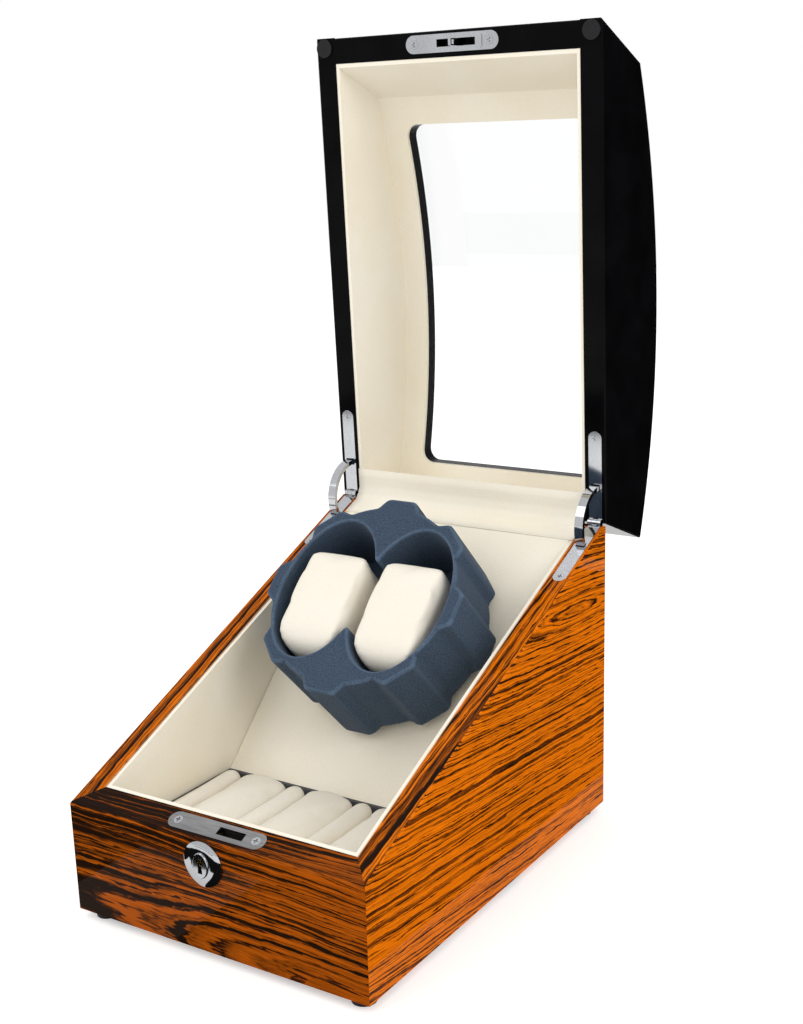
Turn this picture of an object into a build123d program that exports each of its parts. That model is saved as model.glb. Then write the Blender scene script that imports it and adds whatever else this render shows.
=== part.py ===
"""A watch winder: a sloped veneered case, a lacquered lid with a window, and a motor-driven drum.

Millimetres. X runs across the case, Y from front to back and Z up. The origin lies on the
surface that the feet rest on, under the middle of the whole with its lid open. The lid is
modelled open, standing on the stops of its quadrant hinges.
"""

import os
from math import acos, cos, hypot, pi, radians, sin, sqrt, tan

from build123d import *

os.makedirs("parts", exist_ok=True)

# Case
case_width = 180.0
case_depth = 244.0
front_height = 59.5
slope_angle = 24.0
wall = 12.8
edge_bevel = 0.8
floor_thickness = 6.0
floor_recess = 1.0
foot_height = 5.0
foot_radius = 6.5
foot_taper = 5.0
foot_inset = 10.0
lining = 2.0

# Lid
open_angle = 112.0
rim_gap = 1.4
lid_end_depth = 48.0
lid_crown = 23.5
lid_board = 10.5
window_side = 30.0
window_start = 12.0
window_front = 49.1
window_corner = 8.0
pane_thickness = 3.0
pane_lip = 4.0
bumper_radius = 5.0
bumper_thickness = 1.2
bumper_inset = 6.0
bumper_setback = 6.1
flap_thickness = 0.6

# Quadrant hinges
hinge_inset = 6.5
leaf_width = 8.0
leaf_thickness = 1.5
leaf_start = 2.4
leaf_screw = 48.0
knuckle_radius = 2.0
knuckle_half = 1.45
knuckle_gap = 0.15
pin_radius = 0.9
arm_radius = 20.0
arm_thickness = 2.6
arm_width = 5.0
arm_head_width = 6.6
arm_head_angle = 3.0
arm_engaged = 10.0
arm_share = 0.42
arm_clearance = 0.6
arm_pocket_spare = 2.0

# Lock
lock_setback = 7.4
lock_plate_length = 58.4
lock_plate_width = 9.6
lock_plate_thickness = 1.5
lock_slot_start = 1.0
lock_slot_end = 16.7
lock_slot_width = 4.5
lock_screw_x = 23.8
lock_case_left = -20.0
lock_case_right = 19.0
lock_case_front = 3.2
lock_case_back = 11.7
lock_case_bottom = 40.0
lock_case_wall = 0.8
key_x = -3.5
key_plug_radius = 4.0
key_plug_start = 0.4
keyway_width = 1.6
keyway_length = 3.5
keyway_depth = 3.0
keyway_post = 1.3
crank_radius = 4.2
crank_disc = 5.6
crank_disc_thickness = 1.5
crank_pin_radius = 1.0
bolt_clear = 0.6
bolt_length = 17.0
bolt_size = 2.0
bolt_depth = 3.4
bolt_lug_thickness = 1.6
bolt_lug_width = 5.0
tongue_x = 3.0
tongue_thickness = 1.6
tongue_width = 3.8
tongue_reach = 5.6
tongue_eye = 2.4
escutcheon_height = 47.0
escutcheon_radius = 11.7
escutcheon_edge = 0.7
escutcheon_crown = 2.1
escutcheon_dish = 5.4
escutcheon_bulge = 0.4
escutcheon_proud = 2.8
escutcheon_lip = (4.6, 6.6)
escutcheon_lip_round = 0.5
keyhole_radius = 1.9
keyhole_height = 1.8
keyhole_foot = 4.0
keyhole_neck = 1.0
keyhole_flare = 1.4
strike_thickness = 1.2
strike_pocket_depth = 5.0
strike_pocket_margin = 0.5
strike_window_left = (-9.1, -0.5)
strike_window_end = 15.1
strike_window_width = 4.0
strike_boss_height = 0.5
strike_boss_width = 7.4
strike_boss_margin = 4.0
strike_boss_corner = 1.5

# Drum panel and tray
panel_angle = 44.5
panel_back = 139.0
panel_foot_height = 40.0
panel_thickness = 10.0
bulkhead = 6.0
tray_wall = 2.2
bolster_width = 12.0
bolster_side_gap = 0.7
bolster_end_gap = 1.8
bolster_top = 45.0
cushion_end_gap = 1.0
cushion_top = 46.0
cushion_crown = 3.0
cushion_bulge = 0.8
cushion_corner = 2.5
cushion_bevel = 2.0

# Drum
drum_along = 93.8
drum_standoff = 6.6
drum_thickness = 50.0
drum_lobes = 8
lobe_radius = 60.2
valley_radius = 54.5
lobe_half_angle = 8.7
valley_half_angle = 8.4
lobe_round = 4.0
valley_round = 2.5
foam_edge = 1.0
pocket_edge = 0.6
pocket_x = 24.5
pocket_half_width = 26.8
pocket_half_length = 42.5
pocket_depth = 44.0
cusp_round = 1.5
pillow_width = 37.6
pillow_top = 23.5
pillow_bottom = -38.0
pillow_crown = 1.5
pillow_foot_corner = 14.0
pillow_head_corner = 6.0
pillow_nose_round = 16.0
pillow_brow_round = 5.0

# Drive
hub_radius = 40.0
hub_thickness = 3.0
hub_boss_radius = 8.0
shaft_radius = 4.0
shaft_end = 4.0
bush_wall = 3.0
bush_flange = 3.5
bush_flange_thickness = 1.5
gear_module = 1.0
gear_teeth = 48
pinion_teeth = 16
gear_width = 6.0
gear_backlash = 0.25
gear_start = 6.0
gear_holes = 6
gear_hole_circle = 14.4
gear_hole_radius = 3.84
pinion_overhang = 0.5
motor_shaft_radius = 2.0
motor_shaft_depth = 7.2
motor_bore_depth = 8.4
gearbox_radius = 13.0
gearbox_length = 12.0
motor_radius = 11.0
motor_length = 24.0
motor_edge = 1.5
plate_distance = 26.0
plate_thickness = 2.0
plate_width = 80.0
plate_length = 68.0
plate_centre = -16.0
plate_corner = 5.0
plate_shaft_hole = 3.0
standoff_radius = 3.5
standoff_inset = 6.0

# Controls at the back
control_height = 38.0
control_width = 70.0
control_tall = 36.0
control_plate = 2.5
control_lip = 4.0
socket_x = -15.0
socket_radius = 4.0
socket_proud = 1.0
socket_body = (10.0, 11.0)
jack_radius = 2.75
jack_pin_radius = 1.0
jack_depth = 10.0
knob_x = 15.0
knob_radius = 8.0
knob_length = 9.0
knob_edge = 1.0
knob_shaft_radius = 3.0
knob_shaft_depth = 9.6
knob_mark = (1.0, 4.8)
knob_mark_depth = 0.6
switch_size = 12.0
board_thickness = 1.6
board_distance = 12.0
board_clear = 1.0

# Fasteners and fits
screw_radius = 1.25
screw_head_radius = 2.4
screw_length = 9.0
screw_slot = 0.7
running_fit = 0.05
drill_fit = 0.05
seat_gap = 0.1
soft_gap = 0.3
bow_gap = 0.25

# Sizes worked out from the ones above
slope = radians(slope_angle)
half_width = case_width / 2
inner_half = half_width - wall
lined_half = inner_half - lining
hinge_x = half_width - hinge_inset
bumper_x = half_width - bumper_inset
window_width = case_width - 2 * window_side
panel_foot_depth = case_depth - panel_back
bolt_end = tongue_x - tongue_thickness / 2 - bolt_clear
key_height = escutcheon_height + keyhole_height
back_height = front_height + case_depth * tan(slope)
floor_top = floor_recess + floor_thickness
rim_offset = rim_gap / 2
rim_length = case_depth / cos(slope)
window_end = rim_length - window_front
lid_lean = radians(90 + slope_angle - open_angle)
bow_radius = ((rim_length / 2) ** 2 + lid_crown**2) / (2 * lid_crown)
bow_centre = (rim_length / 2 - lid_end_depth * tan(slope), lid_end_depth + lid_crown - bow_radius)
lid_rear = bow_centre[1] * cos(lid_lean) - bow_centre[0] * sin(lid_lean) + bow_radius
front_y = (escutcheon_proud - case_depth - lid_rear) / 2
lock_along = rim_length + rim_offset * tan(slope) - lock_setback
bumper_along = rim_length + rim_offset * tan(slope) - bumper_setback
pitch_radius = gear_module * gear_teeth / 2
pinion_radius = gear_module * pinion_teeth / 2
gear_distance = pitch_radius + pinion_radius
drum_front = drum_standoff + drum_thickness
pocket_floor = drum_front - pocket_depth
under_board = bow_radius - lid_board - bow_gap

# Directions: along the rim from the hinge and into the wood, for the case and for the lid
case_along = Vector(0, -cos(slope), -sin(slope))
case_into = Vector(0, sin(slope), -cos(slope))
lid_along = Vector(0, -sin(lid_lean), cos(lid_lean))
lid_into = Vector(0, cos(lid_lean), sin(lid_lean))
pivot = Vector(0, front_y + case_depth, foot_height + back_height + rim_offset / cos(slope))

# Working planes
rim_plane = Plane(
    origin=(0, front_y, foot_height + front_height), x_dir=(1, 0, 0), z_dir=(0, -sin(slope), cos(slope))
)
lock_plane = Plane(
    origin=rim_plane.from_local_coords((0, lock_setback, 0)), x_dir=(1, 0, 0), z_dir=rim_plane.z_dir
)
lock_screw_planes = [
    Plane(origin=lock_plane.from_local_coords((x, 0, 0)), x_dir=(1, 0, 0), z_dir=lock_plane.z_dir)
    for x in (-lock_screw_x, lock_screw_x)
]
lid_rim = Plane(origin=pivot + lid_into * rim_offset, x_dir=(1, 0, 0), z_dir=lid_into * -1)
panel_point = Vector(0, front_y + panel_foot_depth, foot_height + panel_foot_height)
panel_up = Vector(0, cos(radians(panel_angle)), sin(radians(panel_angle)))
drum_plane = Plane(
    origin=panel_point + panel_up * drum_along,
    x_dir=(1, 0, 0),
    z_dir=(0, -sin(radians(panel_angle)), cos(radians(panel_angle))),
)


def case_side(x):
    """Plane across the case at x, with depth from the front face and height above the boards' foot."""
    return Plane(origin=(x, front_y, foot_height), x_dir=(0, 1, 0), z_dir=(1, 0, 0))


def case_plan(height):
    """Level plane at a height above the boards' foot, with x and depth from the front face."""
    return Plane(origin=(0, front_y, foot_height + height), x_dir=(1, 0, 0), z_dir=(0, 0, 1))


def case_front(depth, x=0.0, height=0.0):
    """Upright plane at a depth behind the front face, facing forward, centred at x and height."""
    return Plane(origin=(x, front_y + depth, foot_height + height), x_dir=(1, 0, 0), z_dir=(0, -1, 0))


def lid_side(x):
    """Plane across the lid at x, with the distance along its rim and the depth behind it."""
    return Plane(origin=(x, pivot.Y, pivot.Z), x_dir=lid_along, z_dir=(-1, 0, 0))


def rim_height(depth):
    """Height of the sloping rim above the boards' foot."""
    return front_height + depth * tan(slope)


def export(part, name):
    """Label a finished piece and write it."""
    part.label = name
    export_step(part, f"parts/{name}.step")


def mitred_board(first, outward):
    """One of the four boards of the case, between its two mitred corners."""
    outer = [(-half_width, 0), (half_width, 0), (half_width, case_depth), (-half_width, case_depth)]
    inner = [
        (-inner_half, wall),
        (inner_half, wall),
        (inner_half, case_depth - wall),
        (-inner_half, case_depth - wall),
    ]
    second = (first + 1) % 4
    with BuildPart() as board:
        with BuildSketch(case_plan(0)) as footprint:
            with BuildLine():
                Polyline(outer[first], outer[second], inner[second], inner[first], close=True)
            make_face()
        extrude(footprint.sketch, amount=back_height)
        split(bisect_by=rim_plane, keep=Keep.BOTTOM)
        top = board.faces().filter_by(lambda f: f.normal_at().dot(rim_plane.z_dir) > 0.999)[0]
        rim_edge = top.edges().sort_by(lambda e: e.center().dot(Vector(*outward)))[-1]
        chamfer(rim_edge, length=edge_bevel)
    return board.part


def lid_region(x, first, last, low, outer, inner=0.0):
    """Face across the lid between two uprights of the shut lid, from depth low out to the bow.

    first and last count from the lid's back face, as the shut lid is measured.
    """

    def corner(distance, depth):
        return (distance / cos(slope) - depth * tan(slope), depth)

    high = lid_end_depth + 2 * lid_crown
    with BuildSketch(lid_side(x)) as region:
        with BuildLine():
            Polyline(
                corner(first, low), corner(last, low), corner(last, high), corner(first, high), close=True
            )
        make_face()
        with Locations(bow_centre):
            Circle(outer, mode=Mode.INTERSECT)
            if inner:
                Circle(inner, mode=Mode.SUBTRACT)
    return region.sketch


def sector(plane, radius, thickness, start, size):
    """Face between two arcs about the plane's origin, from one angle on over another."""
    small = radius - thickness / 2
    large = radius + thickness / 2
    with BuildSketch(plane) as face:
        with BuildLine():
            near = CenterArc((0, 0), small, start, size)
            far = CenterArc((0, 0), large, start, size)
            Line(near @ 0, far @ 0)
            Line(near @ 1, far @ 1)
        make_face()
    return face.sketch


def hinge_side(along, into, x):
    """Plane across a hinge at x, with the distance along the rim and the depth into the wood."""
    return Plane(origin=pivot + Vector(x, 0, 0), x_dir=along, z_dir=along.cross(into))


def hinge_face(along, into, x):
    """Plane of the rim under a hinge leaf, facing out of the wood."""
    return Plane(origin=pivot + into * rim_offset + Vector(x, 0, 0), x_dir=along, z_dir=into * -1)


def leaf_outline(plane, grow=0.0):
    """A hinge leaf's outline, round at its far end."""
    with BuildSketch(plane) as outline:
        with Locations(((leaf_start + leaf_screw) / 2, 0)):
            Rectangle(leaf_screw - leaf_start, leaf_width + 2 * grow)
        with Locations((leaf_screw, 0)):
            Circle(leaf_width / 2 + grow)
    return outline.sketch


def hinge_leaf(along, into, x, outer_knuckles):
    """A leaf let into the rim, with its slot for the arm and one middle or two outer knuckles."""
    face = hinge_face(along, into, x)
    side = hinge_side(along, into, x)
    inner_edge = knuckle_half + knuckle_gap
    if outer_knuckles:
        spans = [(inner_edge, leaf_width / 2), (-leaf_width / 2, -inner_edge)]
    else:
        spans = [(-knuckle_half, knuckle_half)]
    with BuildPart() as leaf:
        extrude(leaf_outline(face), amount=-leaf_thickness)
        for low, high in spans:
            with BuildSketch(side.offset(low)) as knuckle:
                Circle(knuckle_radius)
                with Locations((leaf_start / 2, rim_offset + leaf_thickness / 2)):
                    Rectangle(leaf_start, leaf_thickness)
                Circle(pin_radius, mode=Mode.SUBTRACT)
            extrude(knuckle.sketch, amount=high - low)
        with BuildSketch(face) as arm_slot:
            with Locations((arm_radius, 0)):
                Rectangle(arm_thickness + 2 * arm_clearance, arm_width + arm_clearance)
        extrude(arm_slot.sketch, amount=-2 * leaf_thickness, mode=Mode.SUBTRACT)
        add(screw_shape(screw_plane(along, into, x), drill_fit), mode=Mode.SUBTRACT)
    return leaf.part


def hinge_cutter(along, into, x, pocket_angle):
    """Wood cut away for a hinge: the leaf's recess, the knuckle's relief and the arm's pocket."""
    side = hinge_side(along, into, x)
    with BuildPart() as cutter:
        extrude(leaf_outline(hinge_face(along, into, x), seat_gap), amount=-leaf_thickness)
        with BuildSketch(side) as relief:
            Circle(knuckle_radius + soft_gap)
            with Locations((leaf_start / 2, leaf_thickness / 2)):
                Rectangle(leaf_start + seat_gap, rim_gap + leaf_thickness)
        extrude(relief.sketch, amount=leaf_width / 2 + seat_gap, both=True)
        pocket = sector(side, arm_radius, arm_thickness + 2 * arm_clearance, 0, pocket_angle)
        extrude(pocket, amount=arm_head_width / 2 + soft_gap, both=True)
        add(screw_shape(screw_plane(along, into, x), drill_fit))
    return cutter.part


def screw_plane(along, into, x):
    """Plane of a hinge screw's head."""
    return Plane(
        origin=pivot + into * rim_offset + along * leaf_screw + Vector(x, 0, 0),
        x_dir=(1, 0, 0),
        z_dir=into * -1,
    )


def screw_shape(plane, grow=0.0):
    """A countersunk wood screw with its head in the plane, or the hole for it."""
    head = screw_head_radius + grow
    shank = screw_radius + grow
    length = screw_length + grow
    profile_plane = Plane(origin=plane.origin, x_dir=plane.x_dir, z_dir=plane.y_dir * -1)
    with BuildPart() as screw:
        with BuildSketch(profile_plane) as profile:
            with BuildLine():
                Polyline((0, 0), (head, 0), (shank, shank - head), (shank, -length), (0, -length), close=True)
            make_face()
        revolve(profile.sketch, axis=Axis(plane.origin, plane.z_dir))
    return screw.part


def cross_screw(plane):
    """A countersunk screw with a cross recess."""
    with BuildPart() as screw:
        add(screw_shape(plane))
        with BuildSketch(plane) as recess:
            Rectangle(4 * screw_slot, screw_slot)
            Rectangle(screw_slot, 4 * screw_slot)
        extrude(recess.sketch, amount=-screw_slot, mode=Mode.SUBTRACT)
    return screw.part


def gear_face(plane, teeth, first_angle):
    """Face of a spur gear with involute flanks, one tooth at the first angle."""
    pitch = gear_module * teeth / 2
    base = pitch * cos(radians(20))
    root = pitch - 1.25 * gear_module
    tip = pitch + 0.95 * gear_module
    radii = [max(root, base), pitch, tip]
    roll = tan(radians(20)) - radians(20)
    half_tooth = pi / (2 * teeth) - gear_backlash / (2 * pitch)

    def half_angle(radius):
        pressure = acos(min(1.0, base / radius))
        return half_tooth + roll - (tan(pressure) - pressure)

    flank = [(radius, half_angle(radius)) for radius in radii]
    if root < base:
        flank.insert(0, (root, flank[0][1]))
    points = []
    for tooth in range(teeth):
        middle = radians(first_angle) + 2 * pi * tooth / teeth
        around = [(radius, middle - angle) for radius, angle in flank]
        around += [(radius, middle + angle) for radius, angle in reversed(flank)]
        points += [(radius * cos(angle), radius * sin(angle)) for radius, angle in around]
    with BuildSketch(plane) as face:
        with BuildLine():
            Polyline(*points, close=True)
        make_face()
    return face.sketch


# Case boards
case_cutters = [
    hinge_cutter(case_along, case_into, x, arm_engaged + arm_share * open_angle + arm_pocket_spare)
    for x in (-hinge_x, hinge_x)
]

with BuildPart() as front_wall:
    add(mitred_board(0, (0, -1, 0)))
    with BuildSketch(lock_plane):
        SlotOverall(lock_plate_length + 2 * seat_gap, lock_plate_width + 2 * seat_gap)
    extrude(amount=-lock_plate_thickness, mode=Mode.SUBTRACT)
    with BuildSketch(case_side(lock_case_left - seat_gap)):
        with Locations(((lock_case_front + lock_case_back) / 2, lock_case_bottom - seat_gap)):
            Rectangle(
                lock_case_back - lock_case_front + 2 * seat_gap,
                back_height,
                align=(Align.CENTER, Align.MIN),
            )
    extrude(amount=lock_case_right - lock_case_left + 2 * seat_gap, mode=Mode.SUBTRACT)
    with BuildSketch(case_front(0, key_x, key_height)):
        Circle(key_plug_radius + soft_gap)
    extrude(amount=-lock_case_front, mode=Mode.SUBTRACT)
    for plane in lock_screw_planes:
        add(screw_shape(plane, drill_fit), mode=Mode.SUBTRACT)
export(front_wall.part, "front_wall")

with BuildPart() as right_wall:
    add(mitred_board(1, (1, 0, 0)))
    add(case_cutters[1], mode=Mode.SUBTRACT)
export(right_wall.part, "right_wall")

with BuildPart() as back_wall:
    add(mitred_board(2, (0, 1, 0)))
    for cutter in case_cutters:
        add(cutter, mode=Mode.SUBTRACT)
    with BuildSketch(case_front(case_depth, 0, control_height)):
        RectangleRounded(control_width + 2 * seat_gap, control_tall + 2 * seat_gap, control_lip)
    extrude(amount=control_plate, mode=Mode.SUBTRACT)
    with BuildSketch(case_front(case_depth, 0, control_height)):
        Rectangle(control_width - 2 * control_lip, control_tall - 2 * control_lip)
    extrude(amount=wall, mode=Mode.SUBTRACT)
export(back_wall.part, "back_wall")

with BuildPart() as left_wall:
    add(mitred_board(3, (-1, 0, 0)))
    add(case_cutters[0], mode=Mode.SUBTRACT)
export(left_wall.part, "left_wall")

with BuildPart() as floor_board:
    with BuildSketch(case_plan(floor_recess)):
        with Locations((0, case_depth / 2)):
            Rectangle(2 * inner_half, case_depth - 2 * wall)
    extrude(amount=floor_thickness)
export(floor_board.part, "floor_board")

foot_places = [
    (x, front_y + depth, 0)
    for x in (foot_inset - half_width, half_width - foot_inset)
    for depth in (foot_inset, case_depth - foot_inset)
]
foot_sole = foot_radius - foot_height * tan(radians(foot_taper))
with BuildPart() as feet:
    with Locations(*foot_places):
        Cone(foot_sole, foot_radius, foot_height, align=(Align.CENTER, Align.CENTER, Align.MIN))
export(feet.part, "feet")

# Case linings
for side, x in (("left", -inner_half), ("right", lined_half)):
    with BuildPart() as side_lining:
        with BuildSketch(case_side(x)):
            with BuildLine():
                Polyline(
                    (wall, floor_top),
                    (case_depth - wall, floor_top),
                    (case_depth - wall, rim_height(case_depth - wall) - soft_gap),
                    (wall, rim_height(wall) - soft_gap),
                    close=True,
                )
            make_face()
        extrude(amount=lining)
    export(side_lining.part, f"{side}_lining")

with BuildPart() as front_lining:
    with BuildSketch(case_side(-lined_half)):
        with BuildLine():
            Polyline(
                (wall, floor_top),
                (wall + lining, floor_top),
                (wall + lining, rim_height(wall + lining) - soft_gap),
                (wall, rim_height(wall) - soft_gap),
                close=True,
            )
        make_face()
    extrude(amount=2 * lined_half)
export(front_lining.part, "front_lining")

# Drum panel, its bulkhead and bushes
panel_rise = tan(radians(panel_angle))
panel_drop = panel_thickness / cos(radians(panel_angle))
panel_end = case_depth - wall

with BuildPart() as drum_panel:
    with BuildSketch(case_side(soft_gap - lined_half)):
        with BuildLine():
            Polyline(
                (panel_foot_depth, panel_foot_height),
                (panel_end, panel_foot_height + (panel_end - panel_foot_depth) * panel_rise),
                (panel_end, panel_foot_height + (panel_end - panel_foot_depth) * panel_rise - panel_drop),
                (panel_foot_depth, panel_foot_height - panel_drop),
                close=True,
            )
        make_face()
    extrude(amount=2 * (lined_half - soft_gap))
    split(bisect_by=rim_plane, keep=Keep.BOTTOM)
    with BuildSketch(drum_plane):
        Circle(shaft_radius + bush_wall)
    extrude(amount=-2 * panel_thickness, mode=Mode.SUBTRACT)
export(drum_panel.part, "drum_panel")

with BuildPart() as bulkhead_board:
    with BuildSketch(case_side(soft_gap - lined_half)):
        with BuildLine():
            Polyline(
                (panel_foot_depth, floor_top),
                (panel_foot_depth + bulkhead, floor_top),
                (panel_foot_depth + bulkhead, panel_foot_height - panel_drop + bulkhead * panel_rise),
                (panel_foot_depth, panel_foot_height - panel_drop),
                close=True,
            )
        make_face()
    extrude(amount=2 * (lined_half - soft_gap))
export(bulkhead_board.part, "bulkhead_board")

plate_level = -(panel_thickness + plate_distance)
motor_level = plate_level - plate_thickness

with BuildPart() as shaft_bushes:
    with BuildSketch(drum_plane):
        Circle(shaft_radius + bush_wall)
    extrude(amount=-panel_thickness)
    with BuildSketch(drum_plane):
        Circle(shaft_radius + bush_wall + bush_flange)
    extrude(amount=bush_flange_thickness)
    with BuildSketch(drum_plane.offset(plate_level)):
        Circle(shaft_radius + bush_wall)
    extrude(amount=-plate_thickness)
    with BuildSketch(drum_plane.offset(motor_level)):
        Circle(shaft_radius + bush_wall + bush_flange)
    extrude(amount=-bush_flange_thickness)
    with BuildSketch(drum_plane.offset(bush_flange_thickness)):
        Circle(shaft_radius + running_fit)
    extrude(amount=motor_level - 2 * bush_flange_thickness, mode=Mode.SUBTRACT)
export(shaft_bushes.part, "shaft_bushes")

# Storage tray with its bolsters and cushions
tray_front = wall + lining + seat_gap
tray_back = panel_foot_depth - seat_gap
tray_half = lined_half - soft_gap
tray_middle = (tray_front + tray_back) / 2
tray_depth = tray_back - tray_front

with BuildPart() as tray:
    with BuildSketch(case_plan(floor_top)):
        with Locations((0, tray_middle)):
            Rectangle(2 * tray_half, tray_depth)
    extrude(amount=panel_foot_height - floor_top)
    with BuildSketch(case_plan(floor_top + tray_wall)):
        with Locations((0, tray_middle)):
            Rectangle(2 * (tray_half - tray_wall), tray_depth - 2 * tray_wall)
    extrude(amount=panel_foot_height, mode=Mode.SUBTRACT)
export(tray.part, "tray")

bolster_half = bolster_width / 2
bolster_length = tray_depth - 2 * (tray_wall + bolster_end_gap)
cushion_length = bolster_length - 2 * cushion_end_gap
cushion_pitch = (2 * (tray_half - tray_wall - bolster_side_gap) - bolster_width) / 3
bolster_axis = case_plan(bolster_top - bolster_half)
bolster_run = bolster_length / 2 - bolster_half

with BuildPart() as tray_bolsters:
    for place in (-1.5, -0.5, 0.5, 1.5):
        x = place * cushion_pitch
        with BuildSketch(case_plan(floor_top + tray_wall)):
            with Locations((x, tray_middle)):
                SlotOverall(bolster_length, bolster_width, rotation=90)
        extrude(amount=bolster_top - bolster_half - floor_top - tray_wall)
        with Locations(Location(bolster_axis.from_local_coords((x, tray_middle, 0)), (90, 0, 0))):
            Cylinder(bolster_half, 2 * bolster_run)
        for end in (-bolster_run, bolster_run):
            with Locations(bolster_axis.from_local_coords((x, tray_middle + end, 0))):
                Sphere(bolster_half)
export(tray_bolsters.part, "tray_bolsters")

cushion_half = (cushion_pitch - bolster_width) / 2 - soft_gap
cushion_low = floor_top + tray_wall + soft_gap
cushion_edge = cushion_top - cushion_crown
for place, x in (("left", -cushion_pitch), ("middle", 0.0), ("right", cushion_pitch)):
    with BuildPart() as cushion:
        with BuildSketch(case_front(tray_middle + cushion_length / 2, x)) as profile:
            with BuildLine():
                low_right = (cushion_half - cushion_bulge, cushion_low)
                high_right = (cushion_half - cushion_bulge, cushion_edge)
                low_left = (cushion_bulge - cushion_half, cushion_low)
                high_left = (cushion_bulge - cushion_half, cushion_edge)
                middle_height = (cushion_low + cushion_edge) / 2
                Line(low_left, low_right)
                ThreePointArc(low_right, (cushion_half, middle_height), high_right)
                ThreePointArc(high_right, (0, cushion_top), high_left)
                ThreePointArc(high_left, (-cushion_half, middle_height), low_left)
            make_face()
            fillet(profile.vertices().sort_by(Axis.Y)[-2:], radius=cushion_corner)
        extrude(amount=cushion_length)
        chamfer(cushion.faces().filter_by(Axis.Y).edges(), length=cushion_bevel)
    export(cushion.part, f"tray_cushion_{place}")

# Lock in the front wall
with BuildPart() as lock_plate:
    with BuildSketch(lock_plane):
        SlotOverall(lock_plate_length, lock_plate_width)
        with Locations(((lock_slot_start + lock_slot_end) / 2, 0)):
            Rectangle(lock_slot_end - lock_slot_start, lock_slot_width, mode=Mode.SUBTRACT)
    extrude(amount=-lock_plate_thickness)
    for plane in lock_screw_planes:
        add(screw_shape(plane, drill_fit), mode=Mode.SUBTRACT)
export(lock_plate.part, "lock_plate")

case_thickness = lock_case_back - lock_case_front
with BuildPart() as lock_case:
    with BuildSketch(case_side(lock_case_left)):
        with Locations(((lock_case_front + lock_case_back) / 2, lock_case_bottom)):
            Rectangle(case_thickness, back_height, align=(Align.CENTER, Align.MIN))
    extrude(amount=lock_case_right - lock_case_left)
    with BuildSketch(case_side(lock_case_left + lock_case_wall)):
        with Locations(((lock_case_front + lock_case_back) / 2, lock_case_bottom + lock_case_wall)):
            Rectangle(
                case_thickness - 2 * lock_case_wall, back_height, align=(Align.CENTER, Align.MIN)
            )
    extrude(amount=lock_case_right - lock_case_left - 2 * lock_case_wall, mode=Mode.SUBTRACT)
    split(bisect_by=rim_plane.offset(-lock_plate_thickness), keep=Keep.BOTTOM)
    with BuildSketch(case_front(lock_case_front, key_x, key_height)):
        Circle(key_plug_radius + running_fit)
    extrude(amount=-lock_case_wall, mode=Mode.SUBTRACT)
export(lock_case.part, "lock_case")

disc_depth = lock_case_front + lock_case_wall + seat_gap
pin_depth = disc_depth + crank_disc_thickness
lug_front = lock_setback * cos(slope) + bolt_depth * sin(slope) - bolt_lug_thickness / 2
crank_offset = crank_radius / sqrt(2)
pin_end = lug_front + bolt_lug_thickness + seat_gap

with BuildPart() as key_plug:
    with BuildSketch(case_front(key_plug_start, key_x, key_height)):
        Circle(key_plug_radius)
    extrude(amount=key_plug_start - disc_depth)
    with BuildSketch(case_front(disc_depth, key_x, key_height)):
        Circle(crank_disc)
    extrude(amount=-crank_disc_thickness)
    with BuildSketch(case_front(pin_depth, key_x, key_height)):
        with Locations((-crank_offset, crank_offset)):
            Circle(crank_pin_radius)
    extrude(amount=pin_depth - pin_end)
    with BuildSketch(case_front(key_plug_start, key_x, key_height)):
        Circle(keyway_post)
        Rectangle(keyway_width, keyway_length, align=(Align.CENTER, Align.MAX))
    extrude(amount=-keyway_depth, mode=Mode.SUBTRACT)
export(key_plug.part, "key_plug")

lug_x = key_x - crank_offset
lug_bottom = key_height + crank_offset - crank_pin_radius - bolt_size
with BuildPart() as lock_bolt:
    bolt_face = Plane(
        origin=lock_plane.from_local_coords((bolt_end, 0, -bolt_depth)),
        x_dir=lock_plane.y_dir,
        z_dir=(1, 0, 0),
    )
    with BuildSketch(bolt_face):
        Rectangle(bolt_size, bolt_size)
    extrude(amount=-bolt_length)
    lug_top = rim_height(lock_setback * cos(slope)) - bolt_depth / cos(slope)
    with BuildSketch(case_front(lug_front, lug_x, 0)):
        with Locations((0, (lug_bottom + lug_top) / 2)):
            Rectangle(bolt_lug_width, lug_top - lug_bottom)
        slot_low = key_height + crank_offset - crank_pin_radius - soft_gap
        slot_high = key_height + crank_radius + crank_pin_radius + soft_gap
        with Locations((0, (slot_low + slot_high) / 2)):
            Rectangle(
                2 * (crank_pin_radius + 2 * seat_gap), slot_high - slot_low, mode=Mode.SUBTRACT
            )
    extrude(amount=-bolt_lug_thickness)
export(lock_bolt.part, "lock_bolt")

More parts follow.
